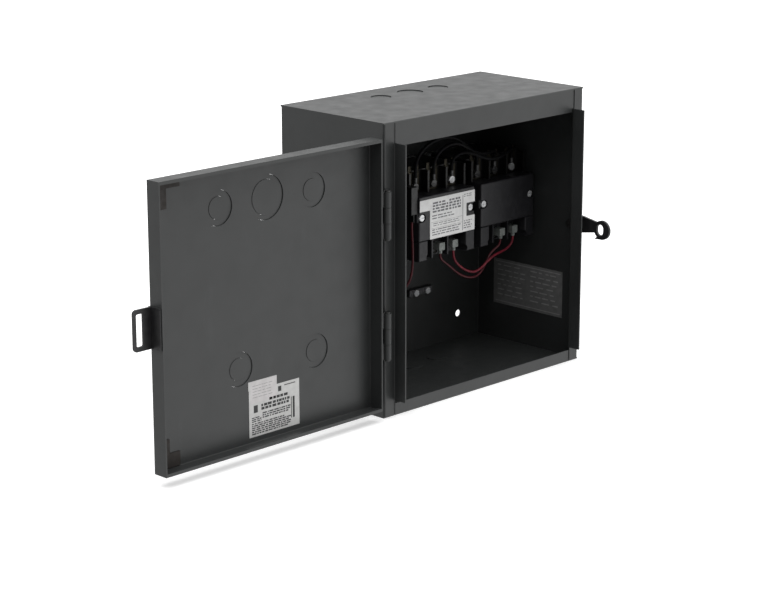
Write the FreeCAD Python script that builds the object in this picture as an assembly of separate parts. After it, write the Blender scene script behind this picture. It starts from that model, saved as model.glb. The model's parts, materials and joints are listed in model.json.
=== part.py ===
# Two-source transfer switch in a wall-mounted sheet-steel enclosure.
#
# Shapes are drawn in millimetres from the enclosure's lower left front corner:
# x to the right, y into the enclosure, z up.  save() moves each one into the part's
# own frame, whose origin is the centre of the back face, on the mounting-hole pattern.
# The door is drawn fully open, folded back in line with the front of the enclosure.

import FreeCAD, Part
import math
import os

# ---- driving dimensions ------------------------------------------------------------
WIDTH = 304.8
HEIGHT = 304.8
DEPTH = 150.0
SHEET = 1.5
BEND = 1.5                      # centreline radius of a sheet bend
SIDE_FLANGE = 15.0              # front flange of each side wall
LIP_REACH = 15.0                # how far each side lip stands in front of the opening
LIP_BOTTOM = 16.5
LIP_TOP = 283.0
TOP_FLANGE = 25.4
BOTTOM_FLANGE = 13.0
FIT = 0.2                       # gap between neighbouring sheet edges

MOUNT_SPACING_X = 234.0
MOUNT_SPACING_Z = 243.2
MOUNT_HOLE_R = 4.0

KNOCKOUT_GAP = 0.15
KNOCKOUT_STEP = 0.9             # how far a knockout disc is punched out of its plate
PLATE_KNOCKOUTS = ((-45.0, 11.1), (-1.0, 14.1), (42.0, 11.1))
PLATE_KNOCKOUT_Y = 111.0

DOOR_WIDTH = 284.0
DOOR_HEIGHT = 279.4
DOOR_DEPTH = 18.0
DOOR_BOTTOM = 12.0
DOOR_CLOSED_GAP = 1.5           # closed door's flange edge to the front of the enclosure
DOOR_HEM = 1.7
DOOR_HEM_DEPTH = 5.0

HINGE_X = -0.5
HINGE_Y = -4.85
KNUCKLE_R = 4.4
HINGE_PIN_R = 2.3
RUNNING_GAP = 0.05
HINGE_LENGTH = 48.0
HINGE_CENTRES = (88.4, 213.2)
LEAF = 1.4
KNUCKLE_GAP = 0.35

LATCH_Y = 14.0
LATCH_Z = 152.6
LATCH_PLATE = 2.8
LATCH_INNER_X = WIDTH + 0.7
LATCH_PIN_R = 3.0

WALL = DEPTH - SHEET            # inner face of the back wall
CONTACTOR_X = (156.0, 252.5)
CONTACTOR_NAMES = ("left", "right")
CONTACTOR_Z = 181.0
POLE_PITCH = 28.0
TRAVEL = 4.4                    # contact carrier, from open to just short of closed


# ---- helpers ----------------------------------------------------------------------
def vec(x, y, z):
    return FreeCAD.Vector(x, y, z)


def block(x0, x1, y0, y1, z0, z1):
    return Part.makeBox(x1 - x0, y1 - y0, z1 - z0, vec(x0, y0, z0))


def rod(radius, start, end):
    """A round bar between two points."""
    axis = vec(*end) - vec(*start)
    return Part.makeCylinder(radius, axis.Length, vec(*start), axis)


def ring(outer, inner, start, end):
    return rod(outer, start, end).cut(rod(inner, start, end))


def fuse(shapes):
    first = shapes[0]
    if len(shapes) == 1:
        return first
    return first.multiFuse(shapes[1:]).removeSplitter()


def group(shapes):
    return Part.makeCompound(shapes)


def fillet_where(shape, radius, test):
    """Rounds the edges whose end points all pass the test."""
    edges = [e for e in shape.Edges if all(test(v.Point) for v in e.Vertexes)]
    return shape.makeFillet(radius, edges)


def round_parallel(shape, radius, axis):
    """Rounds the straight edges that run along one axis: 0, 1 or 2 for x, y or z."""
    edges = []
    for edge in shape.Edges:
        if len(edge.Vertexes) == 2:
            run = edge.Vertexes[1].Point - edge.Vertexes[0].Point
            across = [abs(c) for i, c in enumerate(run) if i != axis]
            if max(across) < 1e-6:
                edges.append(edge)
    return shape.makeFillet(radius, edges)


def save(name, shape):
    moved = shape.copy()
    moved.translate(vec(-WIDTH / 2, -DEPTH, -HEIGHT / 2))
    moved.exportStep("parts/" + name + ".step")


def turn_data(before, corner, after):
    """Unit directions into and out of a corner, and the angle between them."""
    a = (corner - before).normalize()
    b = (after - corner).normalize()
    return a, b, a.getAngle(b)


def bent_strip(points, thickness, radius, z0, z1):
    """Sheet of even thickness that follows a flat centreline and is bent at its corners."""
    pts = [vec(x, y, z0) for x, y in points]
    up = vec(0, 0, 1)
    sides = []
    for side in (1, -1):
        offset = side * thickness / 2
        start = (pts[1] - pts[0]).normalize()
        last = pts[0] + up.cross(start) * offset
        edges = []
        for i in range(1, len(pts) - 1):
            a, b, angle = turn_data(pts[i - 1], pts[i], pts[i + 1])
            back = radius * math.tan(angle / 2)
            enter = pts[i] - a * back + up.cross(a) * offset
            leave = pts[i] + b * back + up.cross(b) * offset
            inward = (b - a).normalize()
            centre = pts[i] + inward * (radius / math.cos(angle / 2))
            toward = ((enter + leave) * 0.5 - centre).normalize()
            middle = centre + toward * (enter - centre).Length
            edges.append(Part.makeLine(last, enter))
            edges.append(Part.Arc(enter, middle, leave).toShape())
            last = leave
        final = (pts[-1] - pts[-2]).normalize()
        tip = pts[-1] + up.cross(final) * offset
        edges.append(Part.makeLine(last, tip))
        sides.append(edges)
    ends = []
    for index in (0, -1):
        vertex = 0 if index == 0 else 1
        p = sides[0][index].Vertexes[vertex].Point
        q = sides[1][index].Vertexes[vertex].Point
        ends.append(Part.makeLine(p, q))
    wire = Part.Wire(Part.__sortEdges__(sides[0] + sides[1] + ends))
    return Part.Face(wire).extrude(vec(0, 0, z1 - z0))


def tube(points, diameter):
    """Round wire whose path is straight runs joined by tangent arcs."""
    pts = [vec(*p) for p in points]
    edges = []
    radii = []
    last = pts[0]
    for i in range(1, len(pts) - 1):
        a, b, angle = turn_data(pts[i - 1], pts[i], pts[i + 1])
        shorter = min((pts[i] - pts[i - 1]).Length, (pts[i + 1] - pts[i]).Length)
        back = 0.45 * shorter
        radius = back / math.tan(angle / 2)
        radii.append(radius)
        enter = pts[i] - a * back
        leave = pts[i] + b * back
        centre = pts[i] + (b - a).normalize() * (radius / math.cos(angle / 2))
        middle = centre + (pts[i] - centre).normalize() * radius
        edges.append(Part.LineSegment(last, enter).toShape())
        edges.append(Part.Arc(enter, middle, leave).toShape())
        last = leave
    edges.append(Part.LineSegment(last, pts[-1]).toShape())
    path = Part.Wire(edges)
    start = (pts[1] - pts[0]).normalize()
    profile = Part.Wire(Part.makeCircle(diameter / 2, pts[0], start))
    solid = path.makePipeShell([profile], True, False)
    expected = path.Length * math.pi * diameter * diameter / 4
    print("  length %.1f  least radius %.1f  volume ratio %.4f"
          % (path.Length, min(radii), solid.Volume / expected))
    return solid


def coil_spring(x, z, y0, y1, radius, wire, turns):
    """Compression spring along y."""
    height = y1 - y0 - wire
    helix = Part.makeHelix(height / turns, height, radius)
    profile = Part.Wire(Part.makeCircle(wire / 2, vec(radius, 0, 0), vec(0, 1, 0)))
    solid = Part.Wire(helix.Edges).makePipeShell([profile], True, True)
    solid.rotate(vec(0, 0, 0), vec(1, 0, 0), -90)
    solid.translate(vec(x, y0 + wire / 2, z))
    return solid


# ---- enclosure --------------------------------------------------------------------
def mount_holes():
    holes = []
    for sx in (-1, 1):
        for sz in (-1, 1):
            x = WIDTH / 2 + sx * MOUNT_SPACING_X / 2
            z = HEIGHT / 2 + sz * MOUNT_SPACING_Z / 2
            holes.append(rod(MOUNT_HOLE_R, (x, WALL - 1, z), (x, DEPTH + 1, z)))
    return holes


def case_wrapper():
    """Back, side walls, side front flanges and side lips, bent from one sheet."""
    half = SHEET / 2
    lip_x = SIDE_FLANGE + half
    outline = [(lip_x, -LIP_REACH), (lip_x, half), (half, half), (half, DEPTH - half)]
    mirrored = [(WIDTH - x, y) for x, y in reversed(outline)]
    body = bent_strip(outline + mirrored, SHEET, BEND, SHEET, HEIGHT - SHEET)
    cuts = mount_holes()
    for z0, z1 in ((0, LIP_BOTTOM), (LIP_TOP, HEIGHT)):
        for x0 in (SIDE_FLANGE, WIDTH - SIDE_FLANGE - 4.0):
            cuts.append(block(x0, x0 + 4.0, -LIP_REACH - 1, SHEET + 1, z0, z1))
    cuts.append(rod(LATCH_PIN_R + RUNNING_GAP, (WIDTH - 5, LATCH_Y, LATCH_Z),
                    (WIDTH + 5, LATCH_Y, LATCH_Z)))
    return body.cut(group(cuts))


def cap_plate(top):
    """Top or bottom plate with its front flange."""
    z0, z1 = (HEIGHT - SHEET, HEIGHT) if top else (0, SHEET)
    flange = (HEIGHT - TOP_FLANGE, HEIGHT) if top else (0, BOTTOM_FLANGE)
    plate = block(0, WIDTH, 0, DEPTH, z0, z1)
    x0 = SIDE_FLANGE + FIT
    front = block(x0, WIDTH - x0, 0, SHEET, flange[0], flange[1])
    body = plate.fuse(front).removeSplitter()
    holes = []
    if top:
        for x in (x0 - 1.0, WIDTH - x0 - 2.4):
            holes.append(block(x, x + 3.4, -1, SHEET + 1, flange[0] - 1, LIP_TOP + FIT))
    for dx, radius in PLATE_KNOCKOUTS:
        x = WIDTH / 2 + dx
        holes.append(rod(radius, (x, PLATE_KNOCKOUT_Y, z0 - 1), (x, PLATE_KNOCKOUT_Y, z1 + 1)))
    body = body.cut(group(holes))
    edge_z = HEIGHT if top else 0
    return fillet_where(body, 1.2, lambda p: abs(p.y) < 1e-6 and abs(p.z - edge_z) < 1e-6)


def plate_knockouts(top):
    discs = []
    z0 = HEIGHT - SHEET - KNOCKOUT_STEP if top else KNOCKOUT_STEP
    for dx, radius in PLATE_KNOCKOUTS:
        x = WIDTH / 2 + dx
        discs.append(rod(radius - KNOCKOUT_GAP, (x, PLATE_KNOCKOUT_Y, z0),
                         (x, PLATE_KNOCKOUT_Y, z0 + SHEET)))
    return group(discs)


# ---- door, drawn open --------------------------------------------------------------
DOOR_HINGE_X = 2 * HINGE_X - 9.4                      # outer face of the hinge-side flange
DOOR_FREE_X = DOOR_HINGE_X - DOOR_WIDTH
DOOR_EDGE_Y = 2 * HINGE_Y + DOOR_CLOSED_GAP           # free edge of the flanges
DOOR_BACK_Y = DOOR_EDGE_Y + DOOR_DEPTH                # outer face of the panel
DOOR_SKIN_Y = DOOR_BACK_Y - SHEET                     # inner face of the panel
DOOR_TOP = DOOR_BOTTOM + DOOR_HEIGHT
DOOR_MIDDLE_X = DOOR_HINGE_X - DOOR_WIDTH / 2
DOOR_KNOCKOUTS = (              # place, height, outer radius, inner radius
    (-58.0, 252.0, 17.3, 11.1),
    (2.0, 253.0, 22.2, 17.3),
    (62.0, 251.0, 17.3, 11.1),
    (-36.0, 91.0, 17.3, 11.1),
    (64.0, 89.0, 17.3, 11.1),
)


def door_pan():
    pan = block(DOOR_FREE_X, DOOR_HINGE_X, DOOR_EDGE_Y, DOOR_BACK_Y, DOOR_BOTTOM, DOOR_TOP)
    pan = fillet_where(pan, 2.0, lambda p: abs(p.y - DOOR_BACK_Y) < 1e-6)
    inside = block(DOOR_FREE_X + SHEET, DOOR_HINGE_X - SHEET, DOOR_EDGE_Y - 1, DOOR_SKIN_Y,
                   DOOR_BOTTOM + SHEET, DOOR_TOP - SHEET)
    inside = fillet_where(inside, 0.6, lambda p: abs(p.y - DOOR_SKIN_Y) < 1e-6)
    pan = pan.cut(inside)
    hems = []
    for z0 in (DOOR_BOTTOM + SHEET, DOOR_TOP - SHEET - DOOR_HEM):
        hem = block(DOOR_FREE_X + SHEET, DOOR_HINGE_X - SHEET, DOOR_EDGE_Y,
                    DOOR_EDGE_Y + DOOR_HEM_DEPTH, z0, z0 + DOOR_HEM)
        hems.append(hem)
    pan = pan.multiFuse(hems).removeSplitter()
    holes = []
    for dx, z, radius, _ in DOOR_KNOCKOUTS:
        x = DOOR_MIDDLE_X + dx
        holes.append(rod(radius, (x, DOOR_SKIN_Y - 1, z), (x, DOOR_BACK_Y + 1, z)))
    return pan.cut(group(holes))


def door_knockouts():
    """Concentric knockouts: an outer ring, and a disc that is punched a little less far."""
    pieces = []
    for dx, z, outer, inner in DOOR_KNOCKOUTS:
        x = DOOR_MIDDLE_X + dx
        y0 = DOOR_SKIN_Y + KNOCKOUT_STEP
        pieces.append(ring(outer - KNOCKOUT_GAP, inner, (x, y0, z), (x, y0 + SHEET, z)))
        y0 = DOOR_SKIN_Y + KNOCKOUT_STEP / 2
        pieces.append(rod(inner - KNOCKOUT_GAP, (x, y0, z), (x, y0 + SHEET, z)))
    return group(pieces)


def door_bumpers():
    """L-shaped rubber pads in the two free corners, where the case lip meets the panel."""
    x0 = DOOR_FREE_X + SHEET + 0.7
    y1 = DOOR_SKIN_Y
    y0 = y1 - 1.2
    top = DOOR_TOP - SHEET - 0.7
    low = DOOR_BOTTOM + SHEET + 0.7
    upper = block(x0, x0 + 19.0, y0, y1, top - 28.0, top)
    upper = upper.fuse(block(x0, x0 + 35.0, y0, y1, top - 9.0, top)).removeSplitter()
    lower = block(x0, x0 + 15.5, y0, y1, low, low + 28.0)
    lower = lower.fuse(block(x0, x0 + 28.0, y0, y1, low, low + 14.0)).removeSplitter()
    return group([upper, lower])


HASP_BOTTOM = 134.2
HASP_TOP = 174.0
HASP_SLOT = (138.7, 169.7)
HASP_PLATE = 2.0
HASP_Y = 2 * HINGE_Y + 17.3 - HASP_PLATE              # front face of the open loop
HASP_END_X = -317.0
HASP_SLOT_X = (-313.4, -305.6)


def door_hasp():
    """Loop that passes over the latch hook, with its leg along the free flange."""
    leg = block(DOOR_FREE_X - 1.6, DOOR_FREE_X, DOOR_EDGE_Y + 1.0, DOOR_BACK_Y - 0.4,
                HASP_BOTTOM, HASP_TOP)
    loop = block(HASP_END_X, DOOR_FREE_X - 0.5, HASP_Y, HASP_Y + HASP_PLATE,
                 HASP_BOTTOM, HASP_TOP)
    corners = [e for e in loop.Edges
               if all(abs(v.Point.x - HASP_END_X) < 1e-6 for v in e.Vertexes)
               and abs(e.Vertexes[0].Point.z - e.Vertexes[1].Point.z) < 1e-6]
    loop = loop.makeFillet(4.0, corners)
    slot = block(HASP_SLOT_X[0], HASP_SLOT_X[1], HASP_Y - 1, HASP_Y + HASP_PLATE + 1,
                 HASP_SLOT[0], HASP_SLOT[1])
    slot = round_parallel(slot, 1.6, 1)
    return leg.fuse(loop).removeSplitter().cut(slot)


def door_labels():
    """Wiring label and the small rating label above its corner, on the panel's inner face."""
    y1 = DOOR_SKIN_Y
    main = block(-176.4, -110.4, y1 - 0.2, y1, 19.0, 66.0)
    small = block(-177.0, -140.0, y1 - 0.2, y1, 66.2, 75.2)
    return group([main, small])


# ---- hinges ------------------------------------------------------------------------
def hinge_spans(centre):
    third = (HINGE_LENGTH - 2 * KNUCKLE_GAP) / 3
    z0 = centre - HINGE_LENGTH / 2
    return [(z0 + i * (third + KNUCKLE_GAP), z0 + i * (third + KNUCKLE_GAP) + third)
            for i in range(3)]


def hinge_bore(centre):
    z0 = centre - HINGE_LENGTH
    return rod(HINGE_PIN_R + RUNNING_GAP, (HINGE_X, HINGE_Y, z0),
               (HINGE_X, HINGE_Y, z0 + 2 * HINGE_LENGTH))


def case_leaf(centre):
    spans = hinge_spans(centre)
    pieces = []
    for z0, z1 in (spans[0], spans[2]):
        pieces.append(rod(KNUCKLE_R, (HINGE_X, HINGE_Y, z0), (HINGE_X, HINGE_Y, z1)))
        pieces.append(block(HINGE_X, 8.6, -LEAF, 0, z0, z1))
        pieces.append(block(HINGE_X - 1.0, HINGE_X + 2.4, HINGE_Y + 2.6, -0.6, z0, z1))
    pieces.append(block(3.0, 8.6, -LEAF, 0, spans[0][0], spans[2][1]))
    return fuse(pieces).cut(hinge_bore(centre))


def door_leaf(centre):
    z0, z1 = hinge_spans(centre)[1]
    web_y = HINGE_Y + KNUCKLE_R
    foot_x = DOOR_HINGE_X + LEAF
    pieces = [
        rod(KNUCKLE_R, (HINGE_X, HINGE_Y, z0), (HINGE_X, HINGE_Y, z1)),
        block(foot_x - 0.2, HINGE_X, web_y - LEAF, web_y, z0, z1),
        block(DOOR_HINGE_X, foot_x, web_y - LEAF, DOOR_BACK_Y - 3.0, z0 - 12.0, z1 + 12.0),
    ]
    return fuse(pieces).cut(hinge_bore(centre))


def hinge_pin(centre):
    z0 = centre - HINGE_LENGTH / 2
    z1 = centre + HINGE_LENGTH / 2
    shank = rod(HINGE_PIN_R, (HINGE_X, HINGE_Y, z0 - 0.2), (HINGE_X, HINGE_Y, z1 + 0.2))
    heads = []
    for z, out in ((z0 - 0.2, -1.3), (z1 + 0.2, 1.3)):
        heads.append(rod(3.2, (HINGE_X, HINGE_Y, z), (HINGE_X, HINGE_Y, z + out)))
    return fuse([shank] + heads)


# ---- latch -------------------------------------------------------------------------
EYE_Y = -29.3
EYE_Z = 150.8
EYE_R = 10.6
EYE_HOLE_Y = -27.1
EYE_HOLE_R = 4.4
EYE_HOLE_HALF = 1.6


def plate_outline(points, x0, thickness):
    pts = [vec(x0, y, z) for y, z in points]
    pts.append(pts[0])
    return Part.Face(Part.makePolygon(pts)).extrude(vec(thickness, 0, 0))


def latch_hook():
    """Flat swinging hook: a bar that tapers to a padlock eye, with a barb under the bar."""
    x0 = LATCH_INNER_X
    x1 = x0 + LATCH_PLATE
    bar = plate_outline([(LATCH_Y, 162.9), (-2.1, 162.4), (-21.2, 158.9), (-26.0, 157.6),
                         (-26.0, 147.0), (-20.2, 146.8), (-3.9, 144.1), (LATCH_Y, 142.3)],
                        x0, LATCH_PLATE)
    barb = plate_outline([(-19.2, 139.9), (EYE_Y, EYE_Z - EYE_R), (EYE_Y, 146.0),
                          (-24.6, 143.8)], x0, LATCH_PLATE)
    hub = rod(10.3, (x0, LATCH_Y, LATCH_Z), (x1, LATCH_Y, LATCH_Z))
    eye = rod(EYE_R, (x0, EYE_Y, EYE_Z), (x1, EYE_Y, EYE_Z))
    body = fuse([bar, barb, hub, eye])
    cuts = [rod(LATCH_PIN_R + RUNNING_GAP, (x0 - 1, LATCH_Y, LATCH_Z), (x1 + 1, LATCH_Y, LATCH_Z))]
    for dz in (-EYE_HOLE_HALF, EYE_HOLE_HALF):
        cuts.append(rod(EYE_HOLE_R, (x0 - 1, EYE_HOLE_Y, EYE_Z + dz),
                        (x1 + 1, EYE_HOLE_Y, EYE_Z + dz)))
    cuts.append(block(x0 - 1, x1 + 1, EYE_HOLE_Y - EYE_HOLE_R, EYE_HOLE_Y + EYE_HOLE_R,
                      EYE_Z - EYE_HOLE_HALF, EYE_Z + EYE_HOLE_HALF))
    return body.cut(fuse(cuts[1:])).cut(cuts[0])


def latch_rivet():
    """Shouldered rivet that carries the hook on the right-hand wall."""
    y, z = LATCH_Y, LATCH_Z
    x_out = LATCH_INNER_X + LATCH_PLATE + 0.1
    shank = rod(LATCH_PIN_R, (WIDTH - SHEET - 0.5, y, z), (x_out + 0.5, y, z))
    tail = rod(4.8, (WIDTH - SHEET - 1.6, y, z), (WIDTH - SHEET, y, z))
    collar = rod(5.6, (WIDTH, y, z), (WIDTH + 0.6, y, z))
    dome = Part.makeSphere(7.2, vec(x_out - 4.4, y, z))
    head = dome.common(block(x_out, x_out + 4, y - 8, y + 8, z - 8, z + 8))
    return fuse([shank, tail, collar, head])


# ---- contactors --------------------------------------------------------------------
# In this section d is the distance from the back wall, and dz the height above the
# contactor's middle.
HALF_WIDTH = 43.5
HOUSING_TOP = 45.5
HOUSING_BOTTOM = -49.0
LEG_X = 29.5                    # inner face of the two legs beside the coil terminals
LEG_BOTTOM = -47.6
FACE_D = 70.5                   # front of the lower housing
COVER_D = 88.5                  # front of the arc cover
TERMINAL_D = 64.0
COVER_BOTTOM = -26.0
COVER_TOP = 22.0
POLES = (-POLE_PITCH, 0.0, POLE_PITCH)
STUD_X = 33.0
STUD_Z = (-41.0, 37.5)
STUD_R = 2.5
COIL_TABS = (-0.3, 20.3)
COIL_TAB_D = 80.5
COIL_TAB_Z = -37.5
UPPER_SCREW_Z = 28.5
LOWER_SCREW_Z = -44.3
COVER_SCREW_X = 37.5
COVER_SCREW_Z = -0.7


def cbox(cx, x0, x1, d0, d1, z0, z1):
    """Block placed by contactor: x from its middle, depth from the back wall."""
    return block(cx + x0, cx + x1, WALL - d1, WALL - d0, CONTACTOR_Z + z0, CONTACTOR_Z + z1)


def crod(cx, radius, x, z, d0, d1):
    """Round bar along the depth."""
    return rod(radius, (cx + x, WALL - d1, CONTACTOR_Z + z), (cx + x, WALL - d0, CONTACTOR_Z + z))


def stud_places():
    return [(x, z) for x in (-STUD_X, STUD_X) for z in STUD_Z]


def base_plate(cx):
    plate = round_parallel(cbox(cx, -42, 42, 0, 2, -48, 44), 3.0, 1)
    holes = [crod(cx, STUD_R + 0.3, x, z, -1, 3) for x, z in stud_places()]
    return plate.cut(group(holes))


def leg(cx, side):
    """Post that carries the cover's outline down beside the coil terminals."""
    x0, x1 = sorted((side * LEG_X, side * (HALF_WIDTH - 0.4)))
    post = cbox(cx, x0, x1, 60, COVER_D, LEG_BOTTOM, COVER_BOTTOM - FIT)
    return fillet_where(post, 1.2, lambda p: abs(p.y - (WALL - COVER_D)) < 1e-6)


def housing(cx):
    """Moulded housing: magnet room, contact pit, open troughs above, wire pockets below."""
    body = cbox(cx, -HALF_WIDTH, HALF_WIDTH, 14, TERMINAL_D, HOUSING_BOTTOM, HOUSING_TOP)
    body = round_parallel(body, 2.0, 1)
    adds = [cbox(cx, -42, 42, 2, 15, -33, 30),
            cbox(cx, -HALF_WIDTH, HALF_WIDTH, 60, FACE_D, COVER_BOTTOM, COVER_TOP),
            cbox(cx, -42.5, 42.5, 60, FACE_D, HOUSING_BOTTOM, COVER_BOTTOM + 1),
            leg(cx, -1), leg(cx, 1)]
    for x in (-42.2, -14, 14, 42.2):
        adds.append(cbox(cx, x - 1.3, x + 1.3, 60, 74, COVER_TOP, HOUSING_TOP - 0.5))
    for x in (-14, 10):
        adds.append(cbox(cx, x - 1.0, x + 1.0, 70, 80, HOUSING_BOTTOM, COVER_BOTTOM - FIT))
    body = fuse([body] + adds)
    cuts = [cbox(cx, -34, 34, 1, 50, -26, 26),
            cbox(cx, -22.4, 22.4, 49, 61, -6.9, 6.9),
            cbox(cx, -34.2, 34.2, 60, FACE_D + 1, -22, 18)]
    for x in POLES:
        cuts.append(cbox(cx, x - 8.2, x + 8.2, TERMINAL_D, 66.0, 8, 60))
        cuts.append(cbox(cx, x - 8.2, x + 8.2, TERMINAL_D, 66.0, -30, -8))
        cuts.append(cbox(cx, x - 8.2, x + 8.2, TERMINAL_D, 69.2, -51, -29))
        cuts.append(crod(cx, 4.0, x, LOWER_SCREW_Z, 68, FACE_D + (20 if x else 1)))
        for z in (UPPER_SCREW_Z, LOWER_SCREW_Z):
            cuts.append(crod(cx, 2.1, x, z, 51, TERMINAL_D + 1))
    for x in (-COVER_SCREW_X, COVER_SCREW_X):
        cuts.append(crod(cx, 1.7, x, COVER_SCREW_Z, 54, FACE_D + 1))
    body = body.cut(group(cuts))
    ledges = [cbox(cx, s * 30.4 - 3.6, s * 30.4 + 3.6, 2, 30, -6, 6) for s in (-1, 1)]
    return fuse([body] + ledges)


def cover(cx):
    """Arc cover over the contacts, open at the back."""
    shell = cbox(cx, -43, 43, FACE_D, COVER_D, COVER_BOTTOM, COVER_TOP)
    shell = fillet_where(shell, 1.6, lambda p: abs(p.y - (WALL - COVER_D)) < 1e-6)
    shell = round_parallel(shell, 1.5, 1)
    cuts = [cbox(cx, -34, 34, FACE_D - 1, 86, -22, 18)]
    for x in (-COVER_SCREW_X, COVER_SCREW_X):
        cuts.append(crod(cx, 1.7, x, COVER_SCREW_Z, FACE_D - 1, COVER_D + 1))
        cuts.append(crod(cx, 4.6, x, COVER_SCREW_Z, 85, COVER_D + 1))
    for side in (-1, 1):
        edge = side * (COVER_SCREW_X + 4.6)
        x0, x1 = sorted((side * COVER_SCREW_X, edge + side * 3))
        cuts.append(cbox(cx, x0, x1, 85, COVER_D + 1, COVER_SCREW_Z - 4.6, COVER_SCREW_Z + 4.6))
    shell = shell.cut(fuse(cuts[1:])).cut(cuts[0])
    fins = [cbox(cx, x - 0.8, x + 0.8, 82.5, 86.5, -22.5, 18.5) for x in (-14, 14)]
    return fuse([shell] + fins)


def slotted_screw(cx, x, z, seat, head_r, head_h, shank_r, shank):
    """Cheese-head screw, driven from the front."""
    head = crod(cx, head_r, x, z, seat, seat + head_h)
    head = fillet_where(head, 0.5, lambda p: abs(p.y - (WALL - seat - head_h)) < 1e-6)
    slot = cbox(cx, x - head_r - 1, x + head_r + 1, seat + head_h - 0.9, seat + head_h + 1,
                z - 0.5, z + 0.5)
    body = fuse([head, crod(cx, shank_r, x, z, seat - shank, seat + 0.1)])
    return body.cut(slot)


def cover_screws(cx):
    return group([slotted_screw(cx, x, COVER_SCREW_Z, 85, 3.7, 2.6, 1.6, 27)
                  for x in (-COVER_SCREW_X, COVER_SCREW_X)])


def terminals(cx):
    """Copper strips from the fixed contacts out to the terminal screws."""
    strips = []
    for x in POLES:
        for side, screw, end in ((1, UPPER_SCREW_Z, 44.0), (-1, LOWER_SCREW_Z, 48.5)):
            z0, z1 = sorted((side * 9.0, side * end))
            pieces = [cbox(cx, x - 8, x + 8, TERMINAL_D, TERMINAL_D + 1.6, z0, z1),
                      crod(cx, 4.0, x, side * 13.5, TERMINAL_D + 1, TERMINAL_D + 2.6)]
            if side > 0:
                pieces += [cbox(cx, x + t - 2.2, x + t + 2.2, TERMINAL_D, TERMINAL_D + 0.8,
                                z1 - 1, z1 + 7) for t in (-5.4, 5.4)]
            hole = crod(cx, 2.1, x, screw, TERMINAL_D - 1, TERMINAL_D + 3)
            strips.append(fuse(pieces).cut(hole))
    return group(strips)


def terminal_screws(cx):
    screws = []
    for x in POLES:
        screws.append(slotted_screw(cx, x, UPPER_SCREW_Z, TERMINAL_D + 2.8, 4.2, 2.6, 1.9, 12))
        screws.append(slotted_screw(cx, x, LOWER_SCREW_Z, TERMINAL_D + 1.6, 3.7, 2.6, 1.9, 12))
    return group(screws)


def coil(cx):
    body = cbox(cx, -17, 17, 11.3, 28, -20, 20)
    body = round_parallel(body, 3.0, 1)
    groove = cbox(cx, -20, 20, 13, 26.3, -23, 23).cut(
        round_parallel(cbox(cx, -15.4, 15.4, 12, 27, -18.4, 18.4), 2.5, 1))
    return body.cut(groove).cut(cbox(cx, -7.3, 7.3, 10, 29, -10.3, 10.3))


def coil_terminals(cx):
    """Two spade tabs that stand forward from the ledge under the cover."""
    tabs = []
    for x in COIL_TABS:
        tab = cbox(cx, x - 3.15, x + 3.15, FACE_D, COIL_TAB_D, COIL_TAB_Z - 0.4, COIL_TAB_Z + 0.4)
        foot = cbox(cx, x - 3.6, x + 3.6, FACE_D, FACE_D + 0.8, COIL_TAB_Z - 2.6, COIL_TAB_Z + 2.6)
        tabs.append(fuse([tab, foot]))
    return group(tabs)


def magnet_core(cx):
    yoke = cbox(cx, -26, 26, 3, 11, -10, 10)
    legs = [cbox(cx, x - 4, x + 4, 10, 30, -10, 10) for x in (-22, 22)]
    return fuse([yoke] + legs + [cbox(cx, -7, 7, 10, 30, -10, 10)])


def armature(cx):
    return cbox(cx, -26, 26, 34.7, 42, -10, 10)


def carrier(cx):
    """Moulded contact carrier: spring feet, stem and a crossbar with three windows."""
    foot = cbox(cx, -33.6, 33.6, 42, 45, -6, 6)
    stem = cbox(cx, -22, 22, 44, 71, -6.5, 6.5)
    bar = cbox(cx, -33.6, 33.6, 67.5, 80, -6.5, 6.5)
    windows = [cbox(cx, x - 4.2, x + 4.2, 71.4, 77, -8, 8) for x in POLES]
    body = fuse([foot, stem, bar]).cut(group(windows))
    return body.cut(group([cbox(cx, s * 31 - 8, s * 31 + 8, 45, 67.5, -8, 8) for s in (-1, 1)]))


def moving_contacts(cx):
    bridges = []
    for x in POLES:
        bar = cbox(cx, x - 4, x + 4, 71.4, 73.2, -17.5, 17.5)
        buttons = [crod(cx, 3.4, x, side * 13.5, 71.2, 72) for side in (-1, 1)]
        bridges.append(fuse([bar] + buttons))
    return group(bridges)


def return_springs(cx):
    return group([coil_spring(cx + s * 30.4, CONTACTOR_Z, WALL - 42, WALL - 30, 2.4, 0.7, 5)
                  for s in (-1, 1)])


def nameplate(cx):
    """Metal plate on the left contactor's cover, notched for the two cover screws."""
    plate = cbox(cx, -42.5, 42.5, COVER_D, COVER_D + 0.4, -25.5, 18.4)
    left = cbox(cx, -44, -27, COVER_D - 1, COVER_D + 1, -27, 6.2)
    right = cbox(cx, 29.5, 44, COVER_D - 1, COVER_D + 1, -9.0, 5.5)
    return plate.cut(group([left, right]))


def mounting_studs():
    return group([crod(cx, STUD_R, x, z, 0, 9) for cx in CONTACTOR_X for x, z in stud_places()])


def mounting_nuts():
    nuts = []
    for cx in CONTACTOR_X:
        for x, z in stud_places():
            points = []
            for i in range(7):
                a = math.radians(60 * i + 30)
                points.append(vec(cx + x + 4.62 * math.cos(a), WALL - 6,
                                  CONTACTOR_Z + z + 4.62 * math.sin(a)))
            nut = Part.Face(Part.makePolygon(points)).extrude(vec(0, 4, 0))
            nuts.append(nut.cut(crod(cx, STUD_R + RUNNING_GAP, x, z, 1, 7)))
    return group(nuts)


# ---- interlock between the contactors ----------------------------------------------
LOCK_X = (CONTACTOR_X[0] + HALF_WIDTH + 0.5, CONTACTOR_X[1] - HALF_WIDTH - 0.5)
LOCK_Y = 112.0


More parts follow.
